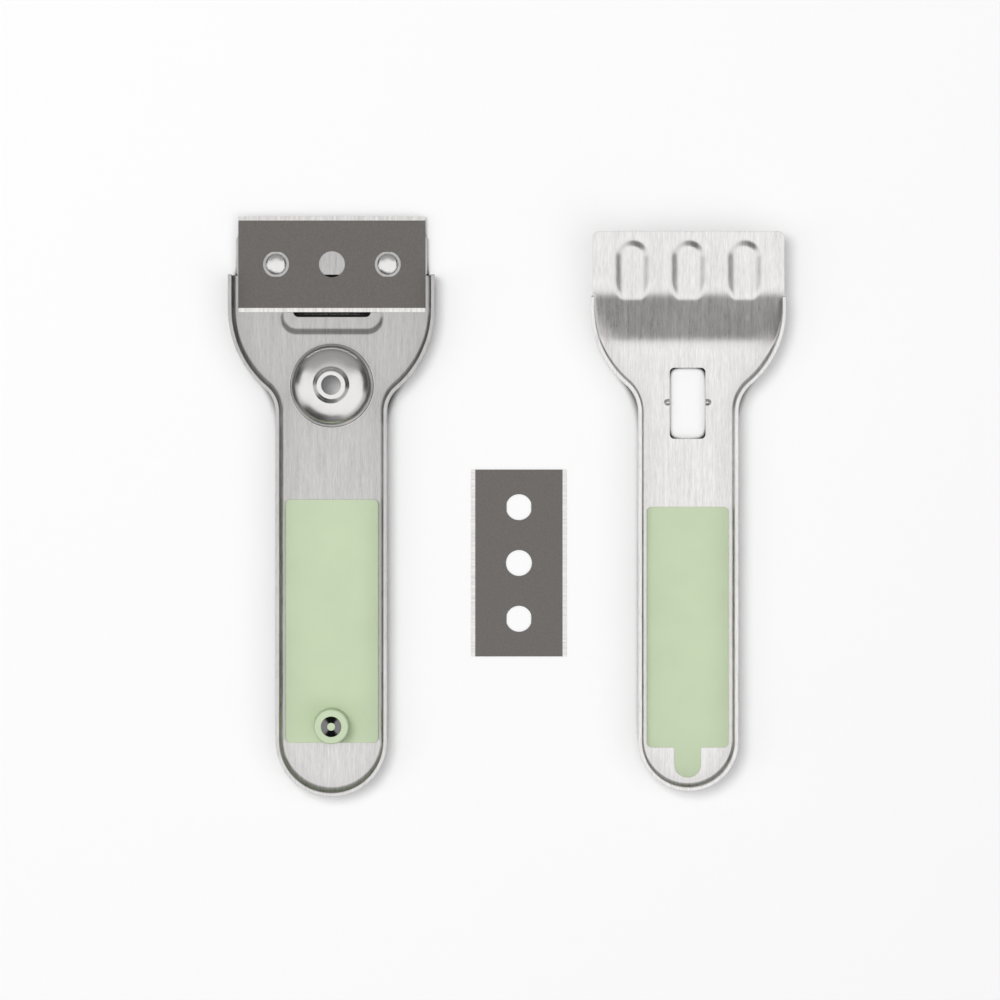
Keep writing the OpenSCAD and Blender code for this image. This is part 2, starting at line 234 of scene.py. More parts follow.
# Small sizes of the press work, in metres. They go with the way the pieces are built.
CUT_UNDER, CUT_OVER = 0.001, 0.002  # how far a cutter reaches under the table and over the floor
FLOOR_STRIP = 0.0004  # the strip of floor that is swept along with the wall
PLATE_STEP = 0.0004  # the length in which the holder's floor widens into its plate
PLATE_CORNER = 0.0014  # radius of the corners of the two plates
SLOT_CORNER, WINDOW_CORNER, GRIP_CORNER = 0.0012, 0.001, 0.002  # corner radius of each opening
GRIP_SIDE, GRIP_END = 0.0025, 0.004  # how far a grip's window stays inside the grip
WEDGE_LENGTH, WEDGE_HEIGHT = 0.003, 0.002  # the cutter for the lip of the opening
WEDGE_BACK = 0.0011  # how far that cutter's middle lies behind the lip's end
SEAT_GAP, SEAT_DEPTH = 0.00025, 0.006  # the seat's edge outside the dome's inner wall, and its cutter
DOME_BEND = 0.0003  # radius of the bend from the floor into the dome
COLLAR_FOOT, COLLAR_TOP = 0.00045, 0.0009  # how much the collar widens at its foot and rounds in at its top
WALL_OVER_SLOPE = 0.00012  # how far the cover's wall stays above the slope
BUMP_SUNK = 0.0003  # how deep a click bump is set into the floor
BUMP_OUT, BUMP_UP = 0.0004, 0.0002  # middle of a bump from the window's edge and from its middle
BUMP_EDGE = 0.00012  # width of the rounding on a bump
RECESS_BLEND = 0.0004  # softness between a recess and the slope
RECESS_RISE = 0.0015  # climb of a recess's side past its edge, over one width of that side
# Shares of the profile, and counts of steps.
DOME_DRAFT = 0.08  # lean of the dome's steep foot, as a share of its height
DOME_CONE = 0.24  # fall of the dome's crown, as a share of its reach
SCOOP_SIDE = 2.5  # width of the scoop's side, as a share of its depth
RECESS_FAR = 1.4  # past this share of its side a recess has no effect
BUMP_TIP, BUMP_STRETCH = 0.2, 1.3  # a bump's tip as a share of its radius, and its length along X
CROWN_STEPS, BELL_STEPS, ROUND_STEPS, DOME_STEPS = 24, 14, 8, 96
WALL_STEPS, NECK_STEPS, HANDLE_STEPS, TIP_STEPS = 3, 18, 24, 32


def length(name, description, default, low=0.0, high=0.2):
    """A size in metres."""
    return bpy.props.FloatProperty(
        name=name, description=description, default=default, min=low, max=high, precision=5, unit="LENGTH"
    )


def colour(name, description, default):
    """A linear colour."""
    return bpy.props.FloatVectorProperty(
        name=name, description=description, default=default, size=3, min=0, max=1, subtype="COLOR"
    )


class SheetSettings(bpy.types.PropertyGroup):
    """Sizes that both pressed halves share"""

    thickness: length("Sheet", "Thickness of the pressed steel", 0.0008)
    edge_round: length("Edge rounding", "Width of the rounding along the cut edges", 0.00014)
    row: length("Row spacing", "Distance between the rows of faces in the pressed heads", 0.00035)
    columns: bpy.props.IntProperty(
        name="Columns", description="Cuts across the floor from wall to wall", default=170, min=20, max=300
    )
    shoulder_radius: length("Shoulder", "Radius of the shoulder of the holder", 0.024)
    neck_radius: length("Neck", "Radius of the neck of the holder", 0.007)
    shoulder_start: length("Shoulder start", "From the stud line down to the shoulder", 0.0104)
    nest_gap: length("Nest gap", "Gap between the walls of the nested halves", 0.0005)


class HolderSettings(bpy.types.PropertyGroup):
    """Sizes of the holder half"""

    handle_width: length("Handle width", "Outer width of the handle", 0.0255)
    wall: length("Wall", "Height of the wall over the outer floor", 0.0065)
    fillet: length("Fillet", "Inner radius from the floor to the wall", 0.0013)
    wall_start: length("Wall ends", "From the stud line down to the ends of the walls", 0.00255)
    plate_up: length("Plate", "From the stud line up to the edge of the blade plate", 0.0069)
    plate_over: length("Plate sides", "How far the plate stands out past each end of the blade", 0.00045)
    slot_width: length("Opening width", "Width of the opening under the blade", 0.0178)
    slot_low: length("Opening foot", "From the stud line down to the foot of the opening", 0.0121)
    slot_height: length("Opening height", "Height of the opening", 0.0097)
    lip: length("Lip", "Width of the bevel along the upper edge of the opening", 0.0011)
    lip_drop: length("Lip drop", "Drop of that bevel", 0.00015)
    scoop_width: length("Scoop width", "Width of the scoop", 0.0244)
    scoop_low: length("Scoop foot", "From the stud line down to the foot of the scoop", 0.0162)
    scoop_depth: length("Scoop depth", "Depth of the scoop under the floor", 0.0006)
    dome_down: length("Dome place", "From the stud line down to the dome", 0.0279)
    dome_width: length("Dome width", "Diameter of the dome at the floor", 0.019)
    collar_width: length("Collar", "Diameter of the collar on the dome", 0.0079)
    shoulder_height: length("Dome shoulder", "Height of the dome under the collar", 0.0086)
    dome_wall: length("Dome wall", "Height of the steep foot of the dome", 0.0028)
    bore: length("Dome hole", "Diameter of the hole through the dome", 0.0045)
    pad_length: length("Pad length", "Length of the grip plate inside the holder", 0.0559)


class CoverSettings(bpy.types.PropertyGroup):
    """Sizes of the cover half"""

    rim_drop: length("Rim drop", "How far the rims lie under the clamp plate", 0.00035)
    fillet: length("Fillet", "Inner radius from the floor to the wall", 0.0009)
    wall_start: length("Wall ends", "From the stud line down to the ends of the walls", 0.0076)
    slope_top: length("Slope top", "From the stud line down to the top of the slope", 0.0035)
    slope_foot: length("Slope foot", "From the stud line down to the foot of the slope", 0.0211)
    slope_soft: bpy.props.FloatProperty(
        name="Slope softness", description="Share of the slope taken by each bend",
        default=0.28, min=0.05, max=0.45,
    )
    recess_depth: length("Recess depth", "Depth of the three stud recesses", 0.00105)
    recess_width: length("Recess width", "Width of a recess at the clamp plate", 0.0094)
    recess_flat: length("Recess flat", "Width of the flat bottom of a recess", 0.0038)
    recess_up: length("Recess end", "From the stud line up to the upper end of a recess", 0.0061)
    recess_pitch: length("Recess pitch", "Distance from recess to recess", 0.01285)
    window_width: length("Window width", "Width of the window", 0.0082)
    window_length: length("Window length", "Length of the window", 0.0163)
    window_down: length("Window place", "From the stud line down to the middle of the window", 0.03195)
    bump_height: length("Bump height", "Height of the click bumps beside the window", 0.0005)
    bump_radius: length("Bump", "Radius of a click bump", 0.00105)
    pad_length: length("Pad length", "Length of the grip plate inside the cover", 0.0553)


class FinishSettings(bpy.types.PropertyGroup):
    """Colours of the finishes"""

    steel: colour("Holder steel", "Colour of the holder's pressed steel", (0.765, 0.750, 0.740))
    bright: colour("Cover steel", "Colour of the cover's pressed steel", (0.87, 0.853, 0.845))
    polished: colour("Polished", "Colour of the dome and studs", (0.80, 0.79, 0.78))
    blade: colour("Blade", "Colour of the blade steel", (0.20, 0.187, 0.177))
    ground: colour("Ground edge", "Colour of the ground strips", (0.86, 0.84, 0.82))
    green: colour("Grip", "Colour of the moulded grips", (0.577, 0.683, 0.470))
    ground_width: length("Ground strip", "Width of the ground strip along the edge of a blade", 0.0010)


class StageSettings(bpy.types.PropertyGroup):
    """Camera and key light"""

    camera_height: length("Camera height", "Height of the camera over the table", 1.3, 0.3, 5.0)
    view_width: length("View width", "Width of the table that the picture shows", 0.23026, 0.1, 1.0)
    shift_x: length("Camera X", "Place of the camera across", -0.0016, -0.1, 0.1)
    shift_y: length("Camera Y", "Place of the camera along", 0.00135, -0.1, 0.1)
    key_power: bpy.props.FloatProperty(
        name="Key light", description="Power of the key light", default=7.0, unit="POWER"
    )
    key_size: length("Key size", "Width of the key light", 0.5, 0.05, 3.0)


# Pressed trays


def half_tray(name, sizes, floor):
    """
    One half of a pressed tray, as a single skin.
    The wall's profile is swept along the outline from the wall's end to the tip.
    """
    sheet = bpy.context.scene.scraper_sheet
    inner = sheet.thickness + sizes["fillet"]
    obj = start_vertex(name, (sizes["head"] - inner - FLOOR_STRIP, -sizes["top"], floor))
    extrude((FLOOR_STRIP, 0, 0))
    spin((sizes["head"] - inner, -sizes["top"], floor + sizes["fillet"]), (0, 1, 0), 90, ROUND_STEPS)
    extrude((0, 0, (sizes["rim"] - floor - sizes["fillet"]) / WALL_STEPS), WALL_STEPS)

    pick_vertices(obj, lambda p: p.x < sizes["head"] - inner - FLOOR_STRIP / 2)
    bpy.ops.object.vertex_group_assign_new()
    bpy.ops.mesh.select_all(action="SELECT")

    drop = sheet.shoulder_start - sizes["top"]
    rows = max(2, round(drop / sheet.row))
    extrude((0, -drop / rows, 0), rows)
    shoulder, neck = sizes["shoulder"], sizes["neck"]
    turn = math.degrees(math.acos(1 - (sizes["head"] - sizes["handle"]) / (shoulder + neck)))
    arc = math.radians(turn) * shoulder
    spin((sizes["head"] - shoulder, -sheet.shoulder_start, 0), (0, 0, 1), turn, round(arc / sheet.row))
    neck_y = -sheet.shoulder_start - (shoulder + neck) * math.sin(math.radians(turn))
    spin((sizes["handle"] + neck, neck_y, 0), (0, 0, 1), -turn, NECK_STEPS)
    end_y = -sizes["length"] + sizes["handle"]
    extrude((0, (end_y - neck_y) / HANDLE_STEPS, 0), HANDLE_STEPS)
    spin((0, end_y, 0), (0, 0, 1), 90, TIP_STEPS)
    bpy.ops.object.mode_set(mode="OBJECT")
    return obj


def whole_tray(name, sizes, floor):
    """Mirrors the half tray, bridges its two floor edges from wall to wall and fills the tip."""
    obj = half_tray(name, sizes, floor)
    end_y = -sizes["length"] + sizes["handle"]
    apply_modifier(obj, "MIRROR", merge_threshold=SAME)
    bpy.ops.object.mode_set(mode="EDIT")
    bpy.ops.mesh.select_mode(type="VERT")
    bpy.ops.mesh.select_all(action="DESELECT")
    bpy.ops.object.vertex_group_select()
    mesh = bmesh.from_edit_mesh(obj.data)
    for vertex in mesh.verts:
        if vertex.select and abs(vertex.co.x) < SAME:
            vertex.select_set(False)
    mesh.select_flush_mode()
    bmesh.update_edit_mesh(obj.data)
    bpy.ops.mesh.select_mode(type="EDGE")
    columns = bpy.context.scene.scraper_sheet.columns
    bpy.ops.mesh.bridge_edge_loops(number_cuts=columns, interpolation="LINEAR")

    def at_tip(edge):
        low_end = all(abs(v.co.z - floor) < SAME and v.co.y < end_y for v in edge.verts)
        return edge.is_boundary and low_end

    pick_edges(obj, at_tip)
    bpy.ops.mesh.edge_face_add()
    bpy.ops.object.mode_set(mode="OBJECT")
    bpy.ops.object.vertex_group_remove(all=True)
    return obj


def inner_face_up(obj):
    """Turns the skin so that its inner face looks up."""
    edit_whole(obj)
    bpy.ops.mesh.normals_make_consistent(inside=False)
    bpy.ops.object.mode_set(mode="OBJECT")
    if sum(face.normal.z * face.area for face in obj.data.polygons) < 0:
        edit_whole(obj)
        bpy.ops.mesh.flip_normals()
        bpy.ops.object.mode_set(mode="OBJECT")


def add_plate(obj, y, reach, top, rows):
    """Extrudes the floor's end at y, out to reach and up to top, into a plate with these rows."""
    bpy.ops.object.mode_set(mode="EDIT")
    pick_vertices(obj, lambda p: abs(p.y - y) < SAME and abs(p.x) < reach + SAME and p.z < top)
    extrude_rows(y, reach, rows)
    bpy.ops.object.mode_set(mode="OBJECT")


def rounded_end(y, half):
    """The rows of a plate's rounded corners, that end at y."""
    start_y, start_half = y - PLATE_CORNER, half - PLATE_CORNER
    turns = [PI / 2 * i / ROUND_STEPS for i in range(ROUND_STEPS + 1)]
    return [(start_y + PLATE_CORNER * math.sin(q), start_half + PLATE_CORNER * math.cos(q)) for q in turns]


def to_sheet(obj):
    """Gives the skin its thickness, away from the inner face, and rounds its cut edges a little."""
    sheet = bpy.context.scene.scraper_sheet
    apply_modifier(obj, "SOLIDIFY", thickness=sheet.thickness, offset=-1, use_even_offset=True)
    round_edges(obj, sheet.edge_round, 2, 50)


def round_edges(obj, width, segments, degrees):
    """Rounds the edges where faces meet at more than this angle."""
    limit = math.radians(degrees)
    apply_modifier(obj, "BEVEL", width=width, segments=segments, limit_method="ANGLE", angle_limit=limit)


def cut_grip_window(obj, grip, pad_length, floor, stud_y):
    """Cuts the floor window that a grip is moulded through, well inside the grip's inner plate."""
    low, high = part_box(grip)
    middle = high.y - pad_length / 2 - stud_y
    wide, long = high.x - low.x - 2 * GRIP_SIDE, pad_length - 2 * GRIP_END
    cut_away(obj, floor_cutter(wide, long, middle, floor, GRIP_CORNER))


def press_dome(name, floor, centre_y):
    """The dome with its collar and hole, spun round its own axis."""
    sheet, holder = bpy.context.scene.scraper_sheet, bpy.context.scene.scraper_holder
    wide, collar = holder.dome_width / 2, holder.collar_width / 2
    low, high, top = floor + DOME_BEND, holder.shoulder_height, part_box("holder_shell")[1].z
    neck = collar + COLLAR_FOOT
    wall = holder.dome_wall
    draft = wall * DOME_DRAFT
    reach = wide - draft - neck
    cone = DOME_CONE * reach
    crown = high - cone - low - wall
    dome = start_vertex(name, (wide + DOME_BEND, 0, floor))
    spin((wide + DOME_BEND, 0, floor + DOME_BEND), (0, 1, 0), -90, 6)
    extrude((-draft, 0, wall))
    points = []
    for i in range(1, CROWN_STEPS + 1):
        q = PI / 2 * (1 - i / CROWN_STEPS)
        share = math.sqrt(math.sin(q))
        points.append((neck + reach * share, high - cone * share - crown * (1 - math.cos(q))))
    for i in range(1, BELL_STEPS + 1):
        share = i / BELL_STEPS
        points.append((neck + (collar - COLLAR_TOP - neck) * share, high + (top - high) * eased(share)))
    x = extrude_through(wide - draft, low + wall, points)
    extrude((holder.bore / 2 - x, 0, 0))
    bpy.ops.mesh.select_all(action="SELECT")
    spin((0, 0, 0), (0, 0, 1), 360, DOME_STEPS)
    bpy.ops.mesh.select_all(action="SELECT")
    bpy.ops.mesh.remove_doubles(threshold=SAME)
    bpy.ops.object.mode_set(mode="OBJECT")
    inner_face_up(dome)
    apply_modifier(dome, "SOLIDIFY", thickness=sheet.thickness, offset=-1, use_even_offset=True)
    put_in_place(dome, 0, centre_y)
    return dome


class SCRAPER_OT_holder(bpy.types.Operator):
    """Builds the pressed holder half with its plate, opening, scoop and dome"""

    bl_idname = "scraper.build_holder"
    bl_label = "Build Holder Half"

    def execute(self, context):
        sheet, holder = context.scene.scraper_sheet, context.scene.scraper_holder
        low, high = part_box("holder_shell")
        stud_low, stud_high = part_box("locating_studs")
        blade_low, blade_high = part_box("fitted_blade")
        stud_y, floor = (stud_low.y + stud_high.y) / 2, stud_low.z
        bottom = floor - sheet.thickness
        sizes = {
            "head": (high.x - low.x) / 2,
            "handle": holder.handle_width / 2,
            "shoulder": sheet.shoulder_radius,
            "neck": sheet.neck_radius,
            "length": stud_y - low.y,
            "top": holder.wall_start,
            "rim": bottom + holder.wall,
            "fillet": holder.fillet,
        }
        half = whole_tray("holder_half", sizes, floor)
        reach = sizes["head"] - sheet.thickness - holder.fillet
        wide = (blade_high.x - blade_low.x) / 2 + holder.plate_over
        rows = [(-holder.wall_start + PLATE_STEP, wide)] + rounded_end(holder.plate_up, wide)
        add_plate(half, -holder.wall_start, reach, floor + 2 * sheet.thickness, rows)
        self.press_scoop(half, floor)
        inner_face_up(half)
        to_sheet(half)
        self.cut_openings(half, floor)
        cut_grip_window(half, "holder_grip", holder.pad_length, floor, stud_y)
        close_gaps(half)
        dome = press_dome("dome", floor, -holder.dome_down)
        steel = context.scene.scraper_finish.steel
        # Painted shade: the holder's steel is painted darker at the head and lighter at the tip.
        paint(half, steel_material("Holder Steel", steel, head_shade=0.68, tip_shade=1.13))
        paint(dome, polished_material())
        smooth(half)
        smooth(dome)
        join_to(half, [dome])
        put_in_place(half, (low.x + high.x) / 2, stud_y)
        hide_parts("holder_shell")
        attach(half, "holder")
        return {"FINISHED"}

    def press_scoop(self, half, floor):
        """Presses the scoop below the opening into the floor, with soft sides."""
        holder = bpy.context.scene.scraper_holder
        radius = holder.scoop_low - holder.slot_low
        side = holder.scoop_depth * SCOOP_SIDE
        reach = holder.scoop_width / 2 - radius
        for vertex in half.data.vertices:
            x, y, z = vertex.co
            if z > floor + SAME:
                continue
            away = math.hypot(max(0.0, abs(x) - reach), y + holder.slot_low)
            vertex.co.z = floor - holder.scoop_depth * eased((radius - away) / side)

    def cut_openings(self, half, floor):
        """Cuts the opening with its bevelled lip, and the seat of the dome."""
        sheet, holder = bpy.context.scene.scraper_sheet, bpy.context.scene.scraper_holder
        middle = holder.slot_height / 2 - holder.slot_low
        cut_away(half, floor_cutter(holder.slot_width, holder.slot_height, middle, floor, SLOT_CORNER))
        slant = math.atan2(holder.lip_drop, holder.lip)
        size = (holder.slot_width, WEDGE_LENGTH, WEDGE_HEIGHT)
        bpy.ops.mesh.primitive_cube_add(size=1, scale=size, rotation=(slant, 0, 0))
        wedge = bpy.context.object
        edge_y = holder.slot_height - holder.slot_low + holder.lip
        up = Vector((0, -math.sin(slant), math.cos(slant)))
        along = Vector((0, math.cos(slant), math.sin(slant)))
        wedge.location = Vector((0, edge_y, floor)) + up * (WEDGE_HEIGHT / 2) - along * WEDGE_BACK
        cut_away(half, wedge)
        bpy.ops.mesh.primitive_cylinder_add(
            vertices=DOME_STEPS, radius=holder.dome_width / 2 - sheet.thickness + SEAT_GAP,
            depth=SEAT_DEPTH, location=(0, -holder.dome_down, floor),
        )
        cut_away(half, bpy.context.object)


class SCRAPER_OT_cover(bpy.types.Operator):
    """Builds the pressed cover half with its slope, clamp plate, recesses and window"""

    bl_idname = "scraper.build_cover"
    bl_label = "Build Cover Half"

    def execute(self, context):
        sheet, holder = context.scene.scraper_sheet, context.scene.scraper_holder
        cover = context.scene.scraper_cover
        low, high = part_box("cover_shell")
        stud_low, stud_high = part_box("locating_studs")
        stud_y, floor, clamp = (stud_low.y + stud_high.y) / 2, stud_low.z, high.z
        skin = sheet.thickness + sheet.nest_gap
        sizes = {
            "head": (high.x - low.x) / 2,
            "handle": holder.handle_width / 2 - skin,
            "shoulder": sheet.shoulder_radius - skin,
            "neck": sheet.neck_radius + skin,
            "length": stud_y - low.y,
            "top": cover.wall_start,
            "rim": clamp - cover.rim_drop,
            "fillet": cover.fillet,
        }
        half = whole_tray("cover_half", sizes, floor)
        wide, reach = sizes["head"] - sheet.thickness / 2, sizes["head"] - sheet.thickness
        edge = high.y - stud_y
        straight = edge - PLATE_CORNER + cover.wall_start
        count = round(straight / sheet.row)
        rows = [(-cover.wall_start + straight / count * i, wide) for i in range(1, count)]
        top = floor + cover.fillet + SAME
        add_plate(half, -cover.wall_start, reach, top, rows + rounded_end(edge, wide))
        self.press_head(half, floor, clamp, sizes["rim"])
        inner_face_up(half)
        to_sheet(half)
        window = (cover.window_width, cover.window_length, -cover.window_down)
        cut_away(half, floor_cutter(*window, floor, WINDOW_CORNER))
        cut_grip_window(half, "cover_grip", cover.pad_length, floor, stud_y)
        bumps = [self.click_bump(side, floor) for side in (-1, 1)]
        bright = context.scene.scraper_finish.bright
        steel = steel_material("Cover Steel", bright, head_shade=1.0, tip_shade=1.0)
        for piece in (half, *bumps):
            paint(piece, steel)
            smooth(piece)
        join_to(half, bumps)
        put_in_place(half, (low.x + high.x) / 2, stud_y)
        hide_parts("cover_shell")
        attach(half, "cover")
        return {"FINISHED"}

    def press_head(self, half, floor, clamp, rim):
        """Lifts the floor over the slope to the clamp plate and presses the three recesses."""
        cover = bpy.context.scene.scraper_cover
        for vertex in half.data.vertices:
            x, y, z = vertex.co
            base = self.slope_height(y, floor, clamp)
            if y > -cover.wall_start + SAME:
                vertex.co.z = self.recessed(x, y, base, clamp)
                continue
            share = (z - floor) / (rim - floor)
            lifted = base + share * (max(rim, base + WALL_OVER_SLOPE) - base)
            vertex.co.z = lifted if share > SAME else self.recessed(x, y, base, clamp)

    def click_bump(self, side, floor):
        """A low pointed bump beside the window, cut off at the window's edge."""
        cover = bpy.context.scene.scraper_cover
        edge = side * cover.window_width / 2
        tall = cover.bump_height + BUMP_SUNK
        middle = floor + (cover.bump_height - BUMP_SUNK) / 2
        bpy.ops.mesh.primitive_cone_add(
            vertices=48, radius1=cover.bump_radius, radius2=cover.bump_radius * BUMP_TIP, depth=tall,
            location=(edge + side * BUMP_OUT, BUMP_UP - cover.window_down, middle),
            scale=(BUMP_STRETCH, 1, 1),
        )
        bump = bpy.context.object
        apply_place(bump)
        edit_whole(bump)
        bpy.ops.mesh.bisect(plane_co=(edge, 0, 0), plane_no=(side, 0, 0), use_fill=True, clear_inner=True)
        bpy.ops.object.mode_set(mode="OBJECT")
        round_edges(bump, BUMP_EDGE, 3, 30)
        return bump

    def slope_height(self, y, floor, clamp):
        """Height of the floor at y: flat, up the slope between two soft bends, and flat again."""
        cover = bpy.context.scene.scraper_cover
        soft = cover.slope_soft
        u = min(1.0, max(0.0, (y + cover.slope_foot) / (cover.slope_foot - cover.slope_top)))
        if u < soft:
            share = u * u / (2 * soft * (1 - soft))
        elif u > 1 - soft:
            share = 1 - (1 - u) ** 2 / (2 * soft * (1 - soft))
        else:
            share = (u - soft / 2) / (1 - soft)
        return floor + (clamp - floor) * share

    def recessed(self, x, y, base, clamp):
        """The floor's height with the nearest of the three recesses, which run out into the slope."""
        cover = bpy.context.scene.scraper_cover
        place = cover.recess_pitch * max(-1, min(1, round(x / cover.recess_pitch)))
        wide, flat = cover.recess_width / 2, cover.recess_flat / 2
        past_end = max(0.0, y - cover.recess_up + wide)
        t = (math.hypot(abs(x - place), past_end) - flat) / (wide - flat)
        if t > RECESS_FAR:
            return base
        wall = clamp - cover.recess_depth * (1 - eased(t)) + max(0.0, t - 1) * RECESS_RISE
        return min(base, lower_of(base, wall, RECESS_BLEND))


# Finishes


NOISE_SPAN = (0.3, 0.7)  # the span in which nearly all values of a noise lie
FINE_STREAKS, BROAD_STREAKS = (3400, 380, 380), (1300, 60, 60)  # streaks per metre across and along
GRAIN_DEPTH, GRIP_DEPTH = 0.000006, 0.00001  # depth of the steel's and the grips' grain, in metres
STEEL_EDGE, DOME_EDGE, GRIP_EDGE = 0.00012, 0.0001, 0.0002  # how far each finish softens an edge
STRIP_EDGE = 0.00012  # width over which a ground strip fades into the blade


def feed(tree, target, inputs):
    """Gives each input of a node its value, or links it to the socket that feeds it."""
    for key, value in inputs.items():
        if isinstance(value, bpy.types.NodeSocket):
            tree.links.new(value, target.inputs[key])
        else:
            target.inputs[key].default_value = value


def node(tree, kind, place, inputs=None, **settings):
    """Adds a node with its settings and its inputs."""
    made = tree.nodes.new(kind)
    made.location = place
    for key, value in settings.items():
        setattr(made, key, value)
    feed(tree, made, inputs or {})
    return made


def number(tree, place, operation, *values):
    """The result of a Math node."""
    return node(tree, "ShaderNodeMath", place, dict(enumerate(values)), operation=operation).outputs[0]


def vector(tree, place, operation, *values):
    """The result of a Vector Math node."""
    inputs = dict(enumerate(values))
    return node(tree, "ShaderNodeVectorMath", place, inputs, operation=operation).outputs[0]


def shaded(tree, place, tint, shade):
    """A colour times a shade."""
    inputs = {0: tint, "Scale": shade}
    return node(tree, "ShaderNodeVectorMath", place, inputs, operation="SCALE").outputs[0]


def spread(tree, place, source, span, result, **settings):
    """Maps the source from one span of values to another."""
    inputs = dict(zip(("Value", "From Min", "From Max", "To Min", "To Max"), (source, *span, *result)))
    return node(tree, "ShaderNodeMapRange", place, inputs, **settings).outputs["Result"]


def noise(tree, place, where, scale, detail=2.0, roughness=0.5):
    """Noise over the coordinates where."""
    inputs = {"Vector": where, "Scale": scale, "Detail": detail, "Roughness": roughness}
    return node(tree, "ShaderNodeTexNoise", place, inputs).outputs["Fac"]


def stretched(tree, place, where, scale):
    """The coordinates where, times scale."""
    return node(tree, "ShaderNodeMapping", place, {"Vector": where, "Scale": scale}).outputs["Vector"]


def object_place(tree, place):
    """The place in the object's own coordinates."""
    return node(tree, "ShaderNodeTexCoord", place).outputs["Object"]


def split(tree, place, source):
    """The sockets with the X, Y and Z of the source."""
    return node(tree, "ShaderNodeSeparateXYZ", place, {0: source}).outputs


def soft_edge(tree, place, radius):
    """The normal with the edges rounded by radius."""
    return node(tree, "ShaderNodeBevel", place, {"Radius": radius}, samples=4).outputs["Normal"]


def bumped(tree, place, normal, height, distance, strength):
    """The normal, bumped by the height."""
    inputs = {"Strength": strength, "Distance": distance, "Height": height, "Normal": normal}
    return node(tree, "ShaderNodeBump", place, inputs).outputs["Normal"]


def new_material(name):
    """A new material, its node tree and its shader."""
    material = bpy.data.materials.new(name)
    material.use_nodes = True
    tree = material.node_tree
    return material, tree, tree.nodes["Principled BSDF"]


def paint(obj, material):
    """Gives obj this material alone."""
    obj.data.materials.clear()
    obj.data.materials.append(material)


def grain_group():
    """Fine streaks along the length of a half, as left by a sanding belt."""
    if "Belt Grain" in bpy.data.node_groups:
        return bpy.data.node_groups["Belt Grain"]
    group = bpy.data.node_groups.new("Belt Grain", "ShaderNodeTree")
    tint = group.interface.new_socket("Colour", in_out="INPUT", socket_type="NodeSocketColor")
    tint.default_value = (0.75, 0.75, 0.75, 1)
    depth = group.interface.new_socket("Depth", in_out="INPUT", socket_type="NodeSocketFloat")
    depth.default_value = 0.35
    for name, kind in (("Colour", "Color"), ("Roughness", "Float"), ("Normal", "Vector")):
        group.interface.new_socket(name, in_out="OUTPUT", socket_type="NodeSocket" + kind)
    start = node(group, "NodeGroupInput", (-1200, 0))
    where = object_place(group, (-1200, -300))
    fine_where = stretched(group, (-1000, -300), where, FINE_STREAKS)
    fine = noise(group, (-780, -200), fine_where, 1, detail=3, roughness=0.6)
    broad_where = stretched(group, (-1000, -650), where, BROAD_STREAKS)
    broad = noise(group, (-780, -550), broad_where, 1)
    inputs = {"Factor": 0.4, "A": fine, "B": broad}
    both = node(group, "ShaderNodeMix", (-560, -300), inputs, data_type="FLOAT")
    streaks = both.outputs["Result"]
    shade = spread(group, (-340, 0), streaks, NOISE_SPAN, (0.76, 1.14))
    edge = soft_edge(group, (-120, -560), STEEL_EDGE)
    node(group, "NodeGroupOutput", (700, 0), {
        "Colour": shaded(group, (-120, 60), start.outputs["Colour"], shade),
        "Roughness": spread(group, (-120, -160), streaks, NOISE_SPAN, (0.24, 0.40)),
        "Normal": bumped(group, (120, -360), edge, streaks, GRAIN_DEPTH, start.outputs["Depth"]),
    })
    return group


def steel_material(name, tint, head_shade, tip_shade):
    """Pressed steel with a belt grain along its length, and a painted shade that changes its colour from
    head to tip.
    """
    low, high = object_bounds()
    material, tree, shader = new_material(name)
    y = split(tree, (-900, 0), object_place(tree, (-1100, 0)))["Y"]
    # Painted shade: the colour is scaled from its tip value to its head value along the length, for the
    # light that falls there.
    painted_shade = spread(tree, (-700, 0), y, (low.y, high.y), (tip_shade, head_shade))
    tone = shaded(tree, (-500, 0), tint, painted_shade)
    grain = node(tree, "ShaderNodeGroup", (-300, 0), node_tree=grain_group())
    feed(tree, grain, {"Colour": tone})
    across = node(
        tree, "ShaderNodeVectorTransform", (-300, -300), {0: (1, 0, 0)},
        vector_type="VECTOR", convert_from="OBJECT", convert_to="WORLD",
    )
    feed(tree, shader, {
        "Base Color": grain.outputs["Colour"],
        "Roughness": grain.outputs["Roughness"],
        "Normal": grain.outputs["Normal"],
        "Metallic": 1,
        "Anisotropic": 0.6,
        "Tangent": across.outputs[0],
    })
    return material


def polished_material():
    """Smooth bright steel of the dome and the studs."""
    if "Polished Steel" in bpy.data.materials:
        return bpy.data.materials["Polished Steel"]
    material, tree, shader = new_material("Polished Steel")
    waves = noise(tree, (-700, 0), object_place(tree, (-900, 0)), 700)
    feed(tree, shader, {
        "Base Color": (*bpy.context.scene.scraper_finish.polished, 1),
        "Roughness": spread(tree, (-480, 0), waves, NOISE_SPAN, (0.19, 0.27)),
        "Normal": soft_edge(tree, (-480, -300), DOME_EDGE),
        "Metallic": 1,
    })
    return material


def ring_painted_reflection_material():
    """Dark steel of the ring in the post with a painted reflection: black towards its two ends along the
    handle.
    """
    low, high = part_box("post_ring")
    material, tree, shader = new_material("Ring Steel Painted Reflection")
    centred = vector(tree, (-1100, 0), "SUBTRACT", object_place(tree, (-1300, 0)), (low + high) / 2)
    flat = vector(tree, (-900, 0), "MULTIPLY", centred, (1, 1, 0))
    heading = vector(tree, (-700, 0), "NORMALIZE", flat)
    along = number(tree, (-340, 0), "ABSOLUTE", split(tree, (-520, 0), heading)["Y"])
    # Painted reflection: the colour is lighter at the ring's sides and nearly black at its ends along the
    # handle.
    shade = spread(tree, (-160, 0), along, (0.62, 0.9), (0.20, 0.006), interpolation_type="SMOOTHSTEP")
    feed(tree, shader, {"Base Color": shade, "Metallic": 1, "Roughness": 0.3})
    return material


